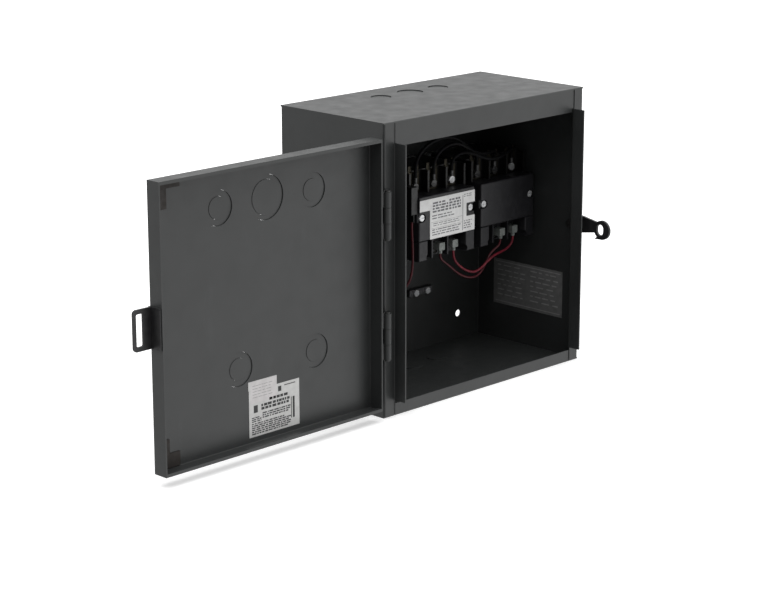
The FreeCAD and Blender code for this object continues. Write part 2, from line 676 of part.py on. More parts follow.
def interlock_housing():
    x0, x1 = LOCK_X
    outer = round_parallel(block(x0, x1, 82, 136, 155, 207), 2.0, 0)
    inner = block(x0 + 1.4, x1 - 1.4, 83.4, 134.6, 156.4, 205.6)
    pivot = rod(1.5, (x0 + 1, LOCK_Y, CONTACTOR_Z), (x1 - 1, LOCK_Y, CONTACTOR_Z))
    return outer.cut(inner).fuse(pivot).removeSplitter()


def interlock_rocker():
    x0, x1 = LOCK_X[0] + 2.4, LOCK_X[1] - 2.4
    hub = rod(4.5, (x0, LOCK_Y, CONTACTOR_Z), (x1, LOCK_Y, CONTACTOR_Z))
    arm = block(x0, x1, LOCK_Y - 3, LOCK_Y + 3, CONTACTOR_Z - 20, CONTACTOR_Z + 20)
    toes = [block(x0, x1, LOCK_Y - 12, LOCK_Y + 3, CONTACTOR_Z + z0, CONTACTOR_Z + z0 + 5)
            for z0 in (-20, 15)]
    bore = rod(1.5 + RUNNING_GAP, (x0 - 1, LOCK_Y, CONTACTOR_Z), (x1 + 1, LOCK_Y, CONTACTOR_Z))
    return fuse([hub, arm] + toes).cut(bore)


# ---- control parts -----------------------------------------------------------------
TIMER_TABS_X = (40.0, 53.0, 66.0)
TIMER_TAB_Z = 94.0


def delay_timer():
    body = round_parallel(block(28, 78, 119, WALL - 2, 60, 104), 2.5, 1)
    foot = round_parallel(block(24, 82, WALL - 2, WALL, 58, 106), 2.0, 1)
    return body.fuse(foot).removeSplitter()


def timer_terminals():
    return group([block(x - 3.15, x + 3.15, 108, 119, TIMER_TAB_Z - 0.4, TIMER_TAB_Z + 0.4)
                  for x in TIMER_TABS_X])


def aux_switch():
    """Snap-action switch on the side of the left contactor."""
    x1 = CONTACTOR_X[0] - HALF_WIDTH - 0.2
    body = round_parallel(block(x1 - 9.0, x1, 62, 90, 185, 215), 1.0, 0)
    tabs = [block(x1 - 4.9, x1 - 4.1, y - 3.15, y + 3.15, 177, 186) for y in (66, 76, 86)]
    return fuse([body] + tabs)


def ground_bar():
    bar = round_parallel(block(184, 220, WALL - 6, WALL, 66, 74), 0.8, 0)
    holes = []
    for x in (193, 211):
        holes.append(rod(2.1, (x, WALL - 7, 70), (x, WALL - 0.8, 70)))
    return bar.cut(group(holes))


def ground_screws():
    screws = []
    for x in (193, 211):
        head = rod(3.6, (x, WALL - 8.6, 70), (x, WALL - 6, 70))
        shank = rod(2.0, (x, WALL - 6.1, 70), (x, WALL - 1.2, 70))
        slot = block(x - 5, x + 5, WALL - 9, WALL - 7.8, 69.5, 70.5)
        screws.append(head.fuse(shank).removeSplitter().cut(slot))
    return group(screws)


def wall_label():
    """Wiring diagram label on the inside of the right-hand wall."""
    x1 = WIDTH - SHEET
    return block(x1 - 0.2, x1, 22.5, 124.5, 42.5, 95.0)


# ---- wires -------------------------------------------------------------------------
COIL_WIRE = 2.6
POWER_WIRE = 3.6
LEAD_WIRE = 2.6
COIL_WIRE_Y = WALL - 78.5
PLUG_BOTTOM = -46.5             # lower end of a coil sleeve, from the contactor's middle
LUG_Y = WALL - TERMINAL_D - 4.0
LUG_TOP = UPPER_SCREW_Z + 10.0

UPPER_COIL_ROUTE = (
    (176.3, 70.0, 134.5), (176.3, 70.0, 129.2), (178.0, 69.8, 123.4), (182.4, 69.2, 117.8),
    (189.2, 68.4, 112.2), (197.8, 67.6, 107.2), (207.0, 67.0, 104.8), (215.4, 67.0, 106.4),
    (222.8, 67.0, 110.2), (231.0, 67.4, 114.4), (240.2, 68.2, 117.7), (250.4, 69.0, 119.2),
    (260.2, 69.7, 120.4), (268.2, 70.0, 123.4), (272.8, 70.0, 129.0), (272.8, 70.0, 134.5),
)
LOWER_COIL_ROUTE = (
    (155.7, 70.0, 134.5), (155.7, 70.0, 130.2), (158.6, 69.9, 126.2), (164.4, 69.6, 121.8),
    (171.4, 69.0, 116.4), (178.6, 68.6, 110.4), (186.8, 68.2, 104.8), (196.4, 67.6, 100.6),
    (207.2, 67.4, 98.9), (217.2, 68.0, 101.4), (225.0, 69.6, 106.6), (231.4, 71.0, 112.8),
    (237.0, 71.5, 119.2), (243.6, 71.2, 123.4), (249.0, 70.4, 126.0), (252.2, 70.0, 130.2),
    (252.2, 70.0, 134.5),
)
TIMER_LEAD_ROUTE = (
    (107.8, 66.0, 177.0), (107.8, 66.0, 168.0), (107.9, 65.2, 157.0), (107.7, 64.4, 145.0),
    (107.5, 64.2, 132.0), (107.0, 65.4, 119.5),
    (105.6, 69.4, 108.8), (101.4, 76.0, 100.8), (94.0, 82.6, 96.4), (85.0, 88.6, 94.6),
    (76.4, 93.8, 94.2), (69.2, 98.8, 94.0), (66.0, 104.0, 94.0), (66.0, 108.0, 94.0),
)
POWER_ROUTES = (
    (
        (128.0, 80.5, 219.5), (128.0, 80.5, 227.5), (128.8, 79.6, 237.0), (133.0, 77.8, 246.4),
        (141.5, 76.0, 253.2), (153.0, 75.0, 257.2), (166.5, 74.4, 258.6), (180.0, 74.0, 256.6),
        (191.5, 73.8, 251.0), (200.6, 73.8, 244.0), (208.8, 74.6, 239.0), (216.0, 76.6, 236.2),
        (221.6, 79.2, 232.2), (224.5, 80.5, 226.0), (224.5, 80.5, 219.5),
    ),
    (
        (156.0, 80.5, 219.5), (156.0, 80.5, 227.0), (156.8, 79.2, 235.5), (160.8, 76.4, 243.5),
        (168.5, 73.6, 249.0), (179.0, 71.8, 250.8), (189.5, 71.0, 248.2), (198.5, 70.6, 243.0),
        (207.5, 70.4, 237.8), (218.0, 70.0, 234.2), (229.5, 70.0, 233.0), (239.5, 71.6, 233.6),
        (246.6, 75.2, 233.0), (251.0, 78.9, 229.8), (252.5, 80.5, 224.8), (252.5, 80.5, 219.5),
    ),
    (
        (184.0, 80.5, 219.5), (184.0, 80.5, 225.5), (184.9, 78.8, 232.0), (188.6, 75.2, 237.4),
        (195.2, 70.2, 239.0), (203.2, 66.2, 236.8), (212.0, 63.8, 232.6), (221.6, 62.2, 229.0),
        (232.5, 62.0, 227.8), (244.0, 63.0, 228.6), (255.5, 65.6, 230.4), (265.6, 69.6, 232.2),
        (273.6, 74.4, 232.4), (278.9, 78.6, 229.4), (280.5, 80.5, 224.6), (280.5, 80.5, 219.5),
    ),
)


def coil_plugs():
    """Right-angle push-on sleeves at the ends of the coil jumpers."""
    plugs = []
    for cx in CONTACTOR_X:
        for x in COIL_TABS:
            sleeve = cbox(cx, x - 4.2, x + 4.2, FACE_D + 1.0, COIL_TAB_D + 1.0,
                          PLUG_BOTTOM + 3.5, COIL_TAB_Z + 2.8)
            neck = rod(2.3, (cx + x, COIL_WIRE_Y, CONTACTOR_Z + PLUG_BOTTOM),
                       (cx + x, COIL_WIRE_Y, CONTACTOR_Z + PLUG_BOTTOM + 4.0))
            sleeve = round_parallel(sleeve, 1.0, 1).fuse(neck).removeSplitter()
            slot = cbox(cx, x - 3.25, x + 3.25, FACE_D, COIL_TAB_D + 0.1,
                        COIL_TAB_Z - 0.45, COIL_TAB_Z + 0.45)
            plugs.append(sleeve.cut(slot))
    return group(plugs)


def power_lugs():
    """Ring terminals under the upper screws, with their barrels pointing up."""
    lugs = []
    seat = TERMINAL_D + 1.6
    z = UPPER_SCREW_Z
    for cx in CONTACTOR_X:
        for x in POLES:
            pad = crod(cx, 4.6, x, z, seat, seat + 1.2)
            neck = cbox(cx, x - 2.4, x + 2.4, seat, seat + 1.2, z, LUG_TOP - 5)
            barrel = rod(2.3, (cx + x, LUG_Y, CONTACTOR_Z + LUG_TOP - 5.5),
                         (cx + x, LUG_Y, CONTACTOR_Z + LUG_TOP))
            lug = fuse([pad, neck, barrel])
            lugs.append(lug.cut(crod(cx, 2.1, x, z, seat - 1, seat + 3)))
    return group(lugs)


# ---- build -------------------------------------------------------------------------
def main():
    os.makedirs("parts", exist_ok=True)
    save("case_wrapper", case_wrapper())
    save("case_top", cap_plate(True))
    save("case_bottom", cap_plate(False))
    save("top_knockouts", plate_knockouts(True))
    save("bottom_knockouts", plate_knockouts(False))

    save("door_pan", door_pan())
    save("door_knockouts", door_knockouts())
    save("door_bumpers", door_bumpers())
    save("door_hasp", door_hasp())
    save("door_labels", door_labels())
    save("hinge_door_leaves", group([door_leaf(z) for z in HINGE_CENTRES]))
    save("hinge_case_leaves", group([case_leaf(z) for z in HINGE_CENTRES]))
    save("hinge_pins", group([hinge_pin(z) for z in HINGE_CENTRES]))

    save("latch_hook", latch_hook())
    save("latch_rivet", latch_rivet())

    contactor_parts = (
        ("base_plate", base_plate),
        ("housing", housing),
        ("cover", cover),
        ("cover_screws", cover_screws),
        ("terminals", terminals),
        ("terminal_screws", terminal_screws),
        ("coil", coil),
        ("coil_terminals", coil_terminals),
        ("magnet_core", magnet_core),
        ("armature", armature),
        ("carrier", carrier),
        ("moving_contacts", moving_contacts),
        ("return_springs", return_springs),
    )
    for name, cx in zip(CONTACTOR_NAMES, CONTACTOR_X):
        for part, make in contactor_parts:
            save(name + "_" + part, make(cx))
    save("left_nameplate", nameplate(CONTACTOR_X[0]))
    save("contactor_studs", mounting_studs())
    save("contactor_nuts", mounting_nuts())

    save("interlock_housing", interlock_housing())
    save("interlock_rocker", interlock_rocker())

    save("delay_timer", delay_timer())
    save("timer_terminals", timer_terminals())
    save("aux_switch", aux_switch())
    save("ground_bar", ground_bar())
    save("ground_screws", ground_screws())
    save("wall_label", wall_label())

    save("coil_jumper_upper", tube(UPPER_COIL_ROUTE, COIL_WIRE))
    save("coil_jumper_lower", tube(LOWER_COIL_ROUTE, COIL_WIRE))
    save("timer_lead", tube(TIMER_LEAD_ROUTE, LEAD_WIRE))
    for index, route in enumerate(POWER_ROUTES):
        save("power_jumper_" + str(index + 1), tube(route, POWER_WIRE))
    save("coil_plugs", coil_plugs())
    save("power_lugs", power_lugs())


main()
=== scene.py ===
import json
import math
import random

import bmesh
import bpy
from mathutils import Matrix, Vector


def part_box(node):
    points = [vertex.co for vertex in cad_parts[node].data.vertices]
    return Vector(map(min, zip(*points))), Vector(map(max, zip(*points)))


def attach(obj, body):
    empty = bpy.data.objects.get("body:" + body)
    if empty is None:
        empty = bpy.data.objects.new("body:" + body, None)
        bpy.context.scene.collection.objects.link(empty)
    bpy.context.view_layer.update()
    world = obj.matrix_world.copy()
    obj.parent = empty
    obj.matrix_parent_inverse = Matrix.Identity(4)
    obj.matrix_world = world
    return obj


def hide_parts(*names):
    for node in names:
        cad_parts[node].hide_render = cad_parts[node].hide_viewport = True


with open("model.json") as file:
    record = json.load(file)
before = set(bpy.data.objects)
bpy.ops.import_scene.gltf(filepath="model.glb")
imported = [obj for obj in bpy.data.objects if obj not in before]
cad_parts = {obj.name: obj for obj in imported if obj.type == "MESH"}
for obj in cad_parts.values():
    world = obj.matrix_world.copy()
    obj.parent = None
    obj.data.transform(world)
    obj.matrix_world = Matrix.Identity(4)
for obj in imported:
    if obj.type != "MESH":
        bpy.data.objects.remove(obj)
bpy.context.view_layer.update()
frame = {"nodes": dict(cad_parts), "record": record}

MM = 0.001


# ---- places taken from the frame ------------------------------------------------------
def low(node):
    return Vector(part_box(node)[0])


def high(node):
    return Vector(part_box(node)[1])


CASE_LOW = low("case_bottom")
CASE_HIGH = high("case_top")


def corner_point(x, y, z):
    """A point given in mm from the enclosure's lower left front corner."""
    return Vector((CASE_LOW.x + x * MM, CASE_LOW.y + y * MM, CASE_LOW.z + z * MM))


# ---- node helpers -----------------------------------------------------------------------
class Shader:
    """A material with its node tree, and short ways to add to it."""

    def __init__(self, name):
        self.material = bpy.data.materials.new(name)
        self.material.use_nodes = True
        self.nodes = self.material.node_tree.nodes
        self.links = self.material.node_tree.links
        self.surface = self.nodes["Principled BSDF"]
        coords = self.nodes.new("ShaderNodeTexCoord")
        self.place = coords.outputs["Object"]

    def set(self, **values):
        for key, value in values.items():
            self.surface.inputs[key.replace("_", " ")].default_value = value

    def noise(self, scale, detail=2.0, rough=0.5, stretch=(1, 1, 1)):
        mapping = self.nodes.new("ShaderNodeMapping")
        mapping.inputs["Scale"].default_value = stretch
        self.links.new(self.place, mapping.inputs["Vector"])
        node = self.nodes.new("ShaderNodeTexNoise")
        node.inputs["Scale"].default_value = scale
        node.inputs["Detail"].default_value = detail
        node.inputs["Roughness"].default_value = rough
        self.links.new(mapping.outputs["Vector"], node.inputs["Vector"])
        return node.outputs["Fac"]

    def ramp(self, value, low_end, high_end, low_at=0.3, high_at=0.7):
        """Maps a value between two colours or grey levels."""
        node = self.nodes.new("ShaderNodeValToRGB")
        ends = node.color_ramp.elements
        ends[0].position = low_at
        ends[1].position = high_at
        for end, colour in zip(ends, (low_end, high_end)):
            if not isinstance(colour, tuple):
                colour = (colour, colour, colour)
            end.color = (*colour, 1)
        self.links.new(value, node.inputs["Fac"])
        return node.outputs["Color"]

    def mix(self, factor, first, second):
        """Blends two colours; the factor is a socket."""
        node = self.nodes.new("ShaderNodeMix")
        node.data_type = "RGBA"
        for name, value in (("Factor", factor), ("A", first), ("B", second)):
            socket = [s for s in node.inputs if s.name == name and s.enabled][0]
            if isinstance(value, bpy.types.NodeSocket):
                self.links.new(value, socket)
            else:
                socket.default_value = (*value, 1)
        return [s for s in node.outputs if s.enabled][0]

    def beyond(self, axis, limit, blur):
        """0 below a limit along one axis, 1 above it, in metres."""
        split = self.nodes.new("ShaderNodeSeparateXYZ")
        self.links.new(self.place, split.inputs["Vector"])
        node = self.nodes.new("ShaderNodeMapRange")
        node.inputs["From Min"].default_value = limit - blur
        node.inputs["From Max"].default_value = limit + blur
        self.links.new(split.outputs[axis], node.inputs["Value"])
        return node.outputs["Result"]

    def bump(self, height, strength, distance):
        node = self.nodes.new("ShaderNodeBump")
        node.inputs["Strength"].default_value = strength
        node.inputs["Distance"].default_value = distance
        self.links.new(height, node.inputs["Height"])
        before = self.surface.inputs["Normal"]
        if before.is_linked:
            self.links.new(before.links[0].from_socket, node.inputs["Normal"])
        self.links.new(node.outputs["Normal"], before)

    def colour(self, socket):
        self.links.new(socket, self.surface.inputs["Base Color"])

    def roughness(self, socket):
        self.links.new(socket, self.surface.inputs["Roughness"])


# ---- materials ----------------------------------------------------------------------------
def powder_paint(name, base, spread=0.10):
    """Grey baked paint: faint orange peel, slow tone drift and rubbed patches."""
    s = Shader(name)
    dark = tuple(c * (1 - spread) for c in base)
    pale = tuple(c * (1 + spread) for c in base)
    drift = s.ramp(s.noise(7.0, 4.0, 0.55), dark, pale, 0.3, 0.7)
    rubbed = s.ramp(s.noise(38.0, 5.0, 0.7, (1, 1, 0.35)), 0.0, 1.0, 0.60, 0.80)
    lifted = tuple(c * 1.25 for c in base)
    s.colour(s.mix(rubbed, drift, lifted))
    s.roughness(s.ramp(s.noise(60.0, 3.0), 0.38, 0.48))
    s.set(Specular_IOR_Level=0.55)
    s.bump(s.noise(900.0, 2.0, 0.6), 0.22, 0.0002)
    s.bump(s.noise(5200.0, 1.0), 0.08, 0.00006)
    return s.material


def black_paint(name):
    s = Shader(name)
    s.colour(s.ramp(s.noise(120.0, 4.0), (0.012, 0.012, 0.013), (0.022, 0.022, 0.023)))
    s.roughness(s.ramp(s.noise(260.0, 3.0), 0.34, 0.5))
    s.bump(s.noise(1600.0, 2.0), 0.2, 0.00012)
    return s.material


def plated(name, dark, pale, rough=(0.22, 0.4), scale=420.0):
    """Zinc, tin or ground metal with fine streaks."""
    s = Shader(name)
    s.colour(s.ramp(s.noise(scale, 4.0, 0.6), dark, pale))
    s.roughness(s.ramp(s.noise(scale * 2.2, 3.0), rough[0], rough[1]))
    s.set(Metallic=1.0)
    s.bump(s.noise(scale * 6, 2.0), 0.15, 0.00005)
    return s.material


def moulded(name, dark, pale, rough=(0.34, 0.5), fleck=1800.0):
    """Moulded phenolic or nylon: flecked, with flow marks and a matt skin."""
    s = Shader(name)
    flow = s.ramp(s.noise(90.0, 4.0, 0.6, (1, 1, 0.4)), dark, pale)
    flecks = s.ramp(s.noise(fleck, 1.0), 0.0, 1.0, 0.62, 0.78)
    s.colour(s.mix(flecks, flow, tuple(c * 1.9 for c in pale)))
    s.roughness(s.ramp(s.noise(240.0, 3.0), rough[0], rough[1]))
    s.bump(s.noise(2400.0, 2.0), 0.16, 0.00008)
    return s.material


def screw_plating(name):
    """Bright zinc with a slightly milky skin."""
    s = Shader(name)
    s.colour(s.ramp(s.noise(420.0, 4.0), (0.66, 0.67, 0.68), (0.88, 0.89, 0.90)))
    s.roughness(s.ramp(s.noise(900.0, 3.0), 0.25, 0.4))
    s.set(Metallic=0.45)
    s.bump(s.noise(2400.0, 2.0), 0.15, 0.00005)
    return s.material


def film(name, dark, pale, rough=(0.38, 0.5)):
    """Label film: slightly uneven tone and fine surface grain."""
    s = Shader(name)
    s.colour(s.ramp(s.noise(160.0, 3.0), dark, pale))
    s.roughness(s.ramp(s.noise(500.0, 2.0), rough[0], rough[1]))
    s.bump(s.noise(3000.0, 2.0), 0.1, 0.00004)
    return s.material


def insulation(name, dark, pale, gloss=0.35, rough=(0.36, 0.5)):
    """Extruded wire covering with a soft gloss and drawn marks."""
    s = Shader(name)
    s.colour(s.ramp(s.noise(300.0, 3.0), dark, pale))
    s.roughness(s.ramp(s.noise(700.0, 2.0), rough[0], rough[1]))
    s.set(Specular_IOR_Level=gloss)
    s.bump(s.noise(2600.0, 2.0), 0.12, 0.00006)
    return s.material


def housing_look(name):
    """Moulded phenolic: plain dark on the lower front, with painted shade making it darker
    above, around the line terminals.
    """
    s = Shader(name)
    # This darker tone is painted shade for the upper part, which lies in shadow.
    painted_shade_tone = s.ramp(s.noise(90.0, 4.0, 0.6, (1, 1, 0.4)), (0.004, 0.004, 0.004),
                  (0.009, 0.009, 0.009))
    unshaded_tone = s.ramp(s.noise(90.0, 4.0, 0.6, (1, 1, 0.4)), (0.013, 0.013, 0.015),
                   (0.020, 0.020, 0.023))
    # Above the shade line the housing takes the painted shade tone.
    s.colour(s.mix(s.beyond("Z", PAINTED_SHADE_FROM, 4 * MM), unshaded_tone, painted_shade_tone))
    s.roughness(s.ramp(s.noise(240.0, 3.0), 0.36, 0.52))
    s.set(Specular_IOR_Level=0.4)
    s.bump(s.noise(2400.0, 2.0), 0.16, 0.00008)
    return s.material


def screw_look(name, pole_x):
    """Terminal screws: painted shade darkens all of them except the outer right pole's screws
    below the shade line, which keep bright zinc.
    """
    s = Shader(name)
    # This dark grey is painted shade on the zinc, not tarnish.
    painted_shade_zinc = s.ramp(s.noise(420.0, 4.0), (0.05, 0.05, 0.05), (0.12, 0.12, 0.12))
    bright = s.ramp(s.noise(420.0, 4.0), (0.62, 0.63, 0.64), (0.82, 0.83, 0.84))
    lit_right_pole = s.mix(s.beyond("X", pole_x - 8 * MM, 1 * MM), painted_shade_zinc, bright)
    # Above the shade line every screw gets the painted shade.
    s.colour(s.mix(s.beyond("Z", PAINTED_SHADE_FROM, 4 * MM), painted_shade_zinc, lit_right_pole))
    s.roughness(s.ramp(s.noise(900.0, 3.0), 0.3, 0.45))
    s.set(Metallic=0.5)
    s.bump(s.noise(2400.0, 2.0), 0.15, 0.00005)
    return s.material


# Height above which the housing and the terminal screws get painted shade.
PAINTED_SHADE_FROM = low("left_cover").z + 20 * MM
PAINT = (0.030, 0.032, 0.032)
materials = {
    "enclosure_paint": powder_paint("enclosure_paint", PAINT),
    "black_paint": black_paint("black_paint"),
    "pin_steel": plated("pin_steel", (0.07, 0.07, 0.07), (0.12, 0.12, 0.12), (0.4, 0.55)),
    "bumper_rubber": moulded("bumper_rubber", (0.012, 0.009, 0.007), (0.020, 0.015, 0.012),
                             (0.6, 0.75)),
    "label_film": film("label_film", (0.53, 0.53, 0.52), (0.62, 0.62, 0.61)),
    "wall_label_film": film("wall_label_film", (0.15, 0.15, 0.15), (0.19, 0.19, 0.19)),
    "nameplate_metal": film("nameplate_metal", (0.72, 0.72, 0.715), (0.82, 0.82, 0.815),
                            (0.3, 0.42)),
    "housing_phenolic": housing_look("housing_phenolic"),
    "cover_phenolic": moulded("cover_phenolic", (0.012, 0.012, 0.014), (0.018, 0.018, 0.021),
                              (0.4, 0.55)),
    "screw_zinc": screw_plating("screw_zinc"),
    "terminal_brass": plated("terminal_brass", (0.035, 0.032, 0.025), (0.075, 0.068, 0.052),
                             (0.4, 0.6)),
    "tinned_metal": plated("tinned_metal", (0.07, 0.07, 0.07), (0.13, 0.13, 0.13),
                           (0.4, 0.6)),
    "coil_tape": moulded("coil_tape", (0.05, 0.035, 0.015), (0.09, 0.06, 0.03)),
    "core_steel": plated("core_steel", (0.20, 0.21, 0.22), (0.34, 0.35, 0.36), (0.35, 0.55)),
    "carrier_plastic": moulded("carrier_plastic", (0.05, 0.02, 0.015), (0.08, 0.035, 0.022)),
    "spring_steel": plated("spring_steel", (0.35, 0.36, 0.37), (0.5, 0.51, 0.52)),
    "base_zinc": plated("base_zinc", (0.32, 0.33, 0.33), (0.46, 0.47, 0.46), (0.3, 0.5)),
    "red_insulation": insulation("red_insulation", (0.11, 0.006, 0.015), (0.19, 0.013, 0.026)),
    "dark_red_insulation": insulation("dark_red_insulation", (0.040, 0.002, 0.005),
                                      (0.075, 0.004, 0.009)),
    "black_insulation": insulation("black_insulation", (0.002, 0.002, 0.002),
                                   (0.004, 0.004, 0.005), 0.12, (0.55, 0.7)),
    "sleeve_nylon": insulation("sleeve_nylon", (0.15, 0.165, 0.155), (0.24, 0.255, 0.245)),
    "timer_case": moulded("timer_case", (0.003, 0.004, 0.004), (0.006, 0.007, 0.007)),
    "bar_aluminium": plated("bar_aluminium", (0.10, 0.10, 0.105), (0.16, 0.16, 0.165),
                            (0.4, 0.6)),
    "left_terminal_screws": screw_look("left_terminal_screws",
                                       high("left_terminal_screws").x - 4.2 * MM),
    "right_terminal_screws": screw_look("right_terminal_screws",
                                        high("right_terminal_screws").x - 4.2 * MM),
    "ink": film("ink", (0.010, 0.010, 0.011), (0.022, 0.022, 0.024)),
    "plate_ink": film("plate_ink", (0.10, 0.10, 0.11), (0.18, 0.18, 0.19)),
    "wall_ink": film("wall_ink", (0.30, 0.30, 0.30), (0.38, 0.38, 0.38)),
    "tag_film": film("tag_film", (0.56, 0.54, 0.54), (0.64, 0.62, 0.62)),
    "tag_ink": film("tag_ink", (0.22, 0.215, 0.22), (0.28, 0.275, 0.28)),
}


def dress_cad_nodes():
    """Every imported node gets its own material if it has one, or else its slot's."""
    for part in frame["record"]["subparts"]:
        node = frame["nodes"][part["node"]]
        material = materials.get(part["node"]) or materials[part["material_slot"]]
        if not node.material_slots:
            node.data.materials.append(material)
        for slot in node.material_slots:
            slot.material = material


# ---- cords --------------------------------------------------------------------------------
COIL_WIRE = 2.6 * MM
POWER_WIRE = 3.6 * MM
LEAD_WIRE = 2.6 * MM

# Points in mm from the enclosure's lower left front corner.

UPPER_COIL_ROUTE = (
    (176.3, 70.0, 134.5), (176.3, 70.0, 129.2), (178.0, 69.8, 123.4), (182.4, 69.2, 117.8),
    (189.2, 68.4, 112.2), (197.8, 67.6, 107.2), (207.0, 67.0, 104.8), (215.4, 67.0, 106.4),
    (222.8, 67.0, 110.2), (231.0, 67.4, 114.4), (240.2, 68.2, 117.7), (250.4, 69.0, 119.2),
    (260.2, 69.7, 120.4), (268.2, 70.0, 123.4), (272.8, 70.0, 129.0), (272.8, 70.0, 134.5),
)
LOWER_COIL_ROUTE = (
    (155.7, 70.0, 134.5), (155.7, 70.0, 130.2), (158.6, 69.9, 126.2), (164.4, 69.6, 121.8),
    (171.4, 69.0, 116.4), (178.6, 68.6, 110.4), (186.8, 68.2, 104.8), (196.4, 67.6, 100.6),
    (207.2, 67.4, 98.9), (217.2, 68.0, 101.4), (225.0, 69.6, 106.6), (231.4, 71.0, 112.8),
    (237.0, 71.5, 119.2), (243.6, 71.2, 123.4), (249.0, 70.4, 126.0), (252.2, 70.0, 130.2),
    (252.2, 70.0, 134.5),
)
TIMER_LEAD_ROUTE = (
    (107.8, 66.0, 177.0), (107.8, 66.0, 168.0), (107.9, 65.2, 157.0), (107.7, 64.4, 145.0),
    (107.5, 64.2, 132.0), (107.0, 65.4, 119.5), (105.6, 69.4, 108.8), (101.4, 76.0, 100.8),
    (94.0, 82.6, 96.4), (85.0, 88.6, 94.6), (76.4, 93.8, 94.2), (69.2, 98.8, 94.0),
    (66.0, 104.0, 94.0), (66.0, 108.0, 94.0),
)
POWER_ROUTES = (
    (
        (128.0, 80.5, 219.5), (128.0, 80.5, 227.5), (128.8, 79.6, 237.0), (133.0, 77.8, 246.4),
        (141.5, 76.0, 253.2), (153.0, 75.0, 257.2), (166.5, 74.4, 258.6), (180.0, 74.0, 256.6),
        (191.5, 73.8, 251.0), (200.6, 73.8, 244.0), (208.8, 74.6, 239.0), (216.0, 76.6, 236.2),
        (221.6, 79.2, 232.2), (224.5, 80.5, 226.0), (224.5, 80.5, 219.5),
    ),
    (
        (156.0, 80.5, 219.5), (156.0, 80.5, 227.0), (156.8, 79.2, 235.5), (160.8, 76.4, 243.5),
        (168.5, 73.6, 249.0), (179.0, 71.8, 250.8), (189.5, 71.0, 248.2), (198.5, 70.6, 243.0),
        (207.5, 70.4, 237.8), (218.0, 70.0, 234.2), (229.5, 70.0, 233.0), (239.5, 71.6, 233.6),
        (246.6, 75.2, 233.0), (251.0, 78.9, 229.8), (252.5, 80.5, 224.8), (252.5, 80.5, 219.5),
    ),
    (
        (184.0, 80.5, 219.5), (184.0, 80.5, 225.5), (184.9, 78.8, 232.0), (188.6, 75.2, 237.4),
        (195.2, 70.2, 239.0), (203.2, 66.2, 236.8), (212.0, 63.8, 232.6), (221.6, 62.2, 229.0),
        (232.5, 62.0, 227.8), (244.0, 63.0, 228.6), (255.5, 65.6, 230.4), (265.6, 69.6, 232.2),
        (273.6, 74.4, 232.4), (278.9, 78.6, 229.4), (280.5, 80.5, 224.6), (280.5, 80.5, 219.5),
    ),
)
# Lengths along the centre lines, in metres.
POWER_LENGTHS = (0.1403, 0.1348, 0.1299)


def wire(name, route, diameter, slot, node):
    """A jumper whose two ends go into terminals, along one smooth curve."""
    points = [corner_point(*p) for p in route]
    curve = bpy.data.curves.new(name, "CURVE")
    curve.dimensions = "3D"
    curve.bevel_depth = diameter / 2
    curve.bevel_resolution = 5
    curve.resolution_u = 10
    curve.use_fill_caps = True
    spline = curve.splines.new("NURBS")
    spline.points.add(len(points) - 1)
    for control, point in zip(spline.points, points):
        control.co = (*point, 1.0)
    spline.order_u = 3
    spline.use_endpoint_u = True
    curve.materials.append(materials[slot])
    piece = bpy.data.objects.new(name, curve)
    bpy.context.scene.collection.objects.link(piece)
    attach(piece, "case")
    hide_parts(node)


def wires():
    wire("coil_wire_upper", UPPER_COIL_ROUTE, COIL_WIRE, "red_insulation",
         "coil_jumper_upper")
    wire("coil_wire_lower", LOWER_COIL_ROUTE, COIL_WIRE, "dark_red_insulation",
         "coil_jumper_lower")
    wire("timer_wire", TIMER_LEAD_ROUTE, LEAD_WIRE, "dark_red_insulation",
         "timer_lead")
    for index, (route, length) in enumerate(zip(POWER_ROUTES, POWER_LENGTHS)):
        wire("power_wire_%d" % (index + 1), route, POWER_WIRE, "black_insulation",
             "power_jumper_%d" % (index + 1))


# ---- printed labels ------------------------------------------------------------------------
PRINT_LIFT = 0.00003


class Sheet:
    """A flat label seen from its printed side, measured from its upper left corner."""

    def __init__(self, corner, across, down):
        self.corner = corner
        self.across = across
        self.down = down
        self.out = down.cross(across).normalized()

    def at(self, u, v, lift):
        return self.corner + self.across * u + self.down * v + self.out * lift


def print_piece(name, sheet, marks, slot, body, lift=PRINT_LIFT):
    """Thin raised ink: each mark is a rectangle (u0, v0, u1, v1) on the sheet."""
    mesh = bmesh.new()
    for u0, v0, u1, v1 in marks:
        corners = [mesh.verts.new(sheet.at(u, v, lift))
                   for u, v in ((u0, v0), (u0, v1), (u1, v1), (u1, v0))]
        mesh.faces.new(corners)
    data = bpy.data.meshes.new(name)
    mesh.to_mesh(data)
    mesh.free()
    data.materials.append(materials[slot])
    piece = bpy.data.objects.new(name, data)
    bpy.context.scene.collection.objects.link(piece)
    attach(piece, body)


def printed_rows(rng, u0, v0, u1, v1, rows, ink, word=(0.02, 0.09), gap=0.012):
    """Rows of short dashes that read as small print from a distance."""
    marks = []
    pitch = (v1 - v0) / rows
    for row in range(rows):
        v = v0 + row * pitch
        end = u1 - rng.random() * 0.18 * (u1 - u0)
        u = u0
        while u < end:
            length = word[0] + rng.random() * (word[1] - word[0])
            stop = min(u + length, u1)
            marks.append((u, v, stop, v + pitch * ink))
            u = stop + gap * (0.7 + rng.random())
    return marks


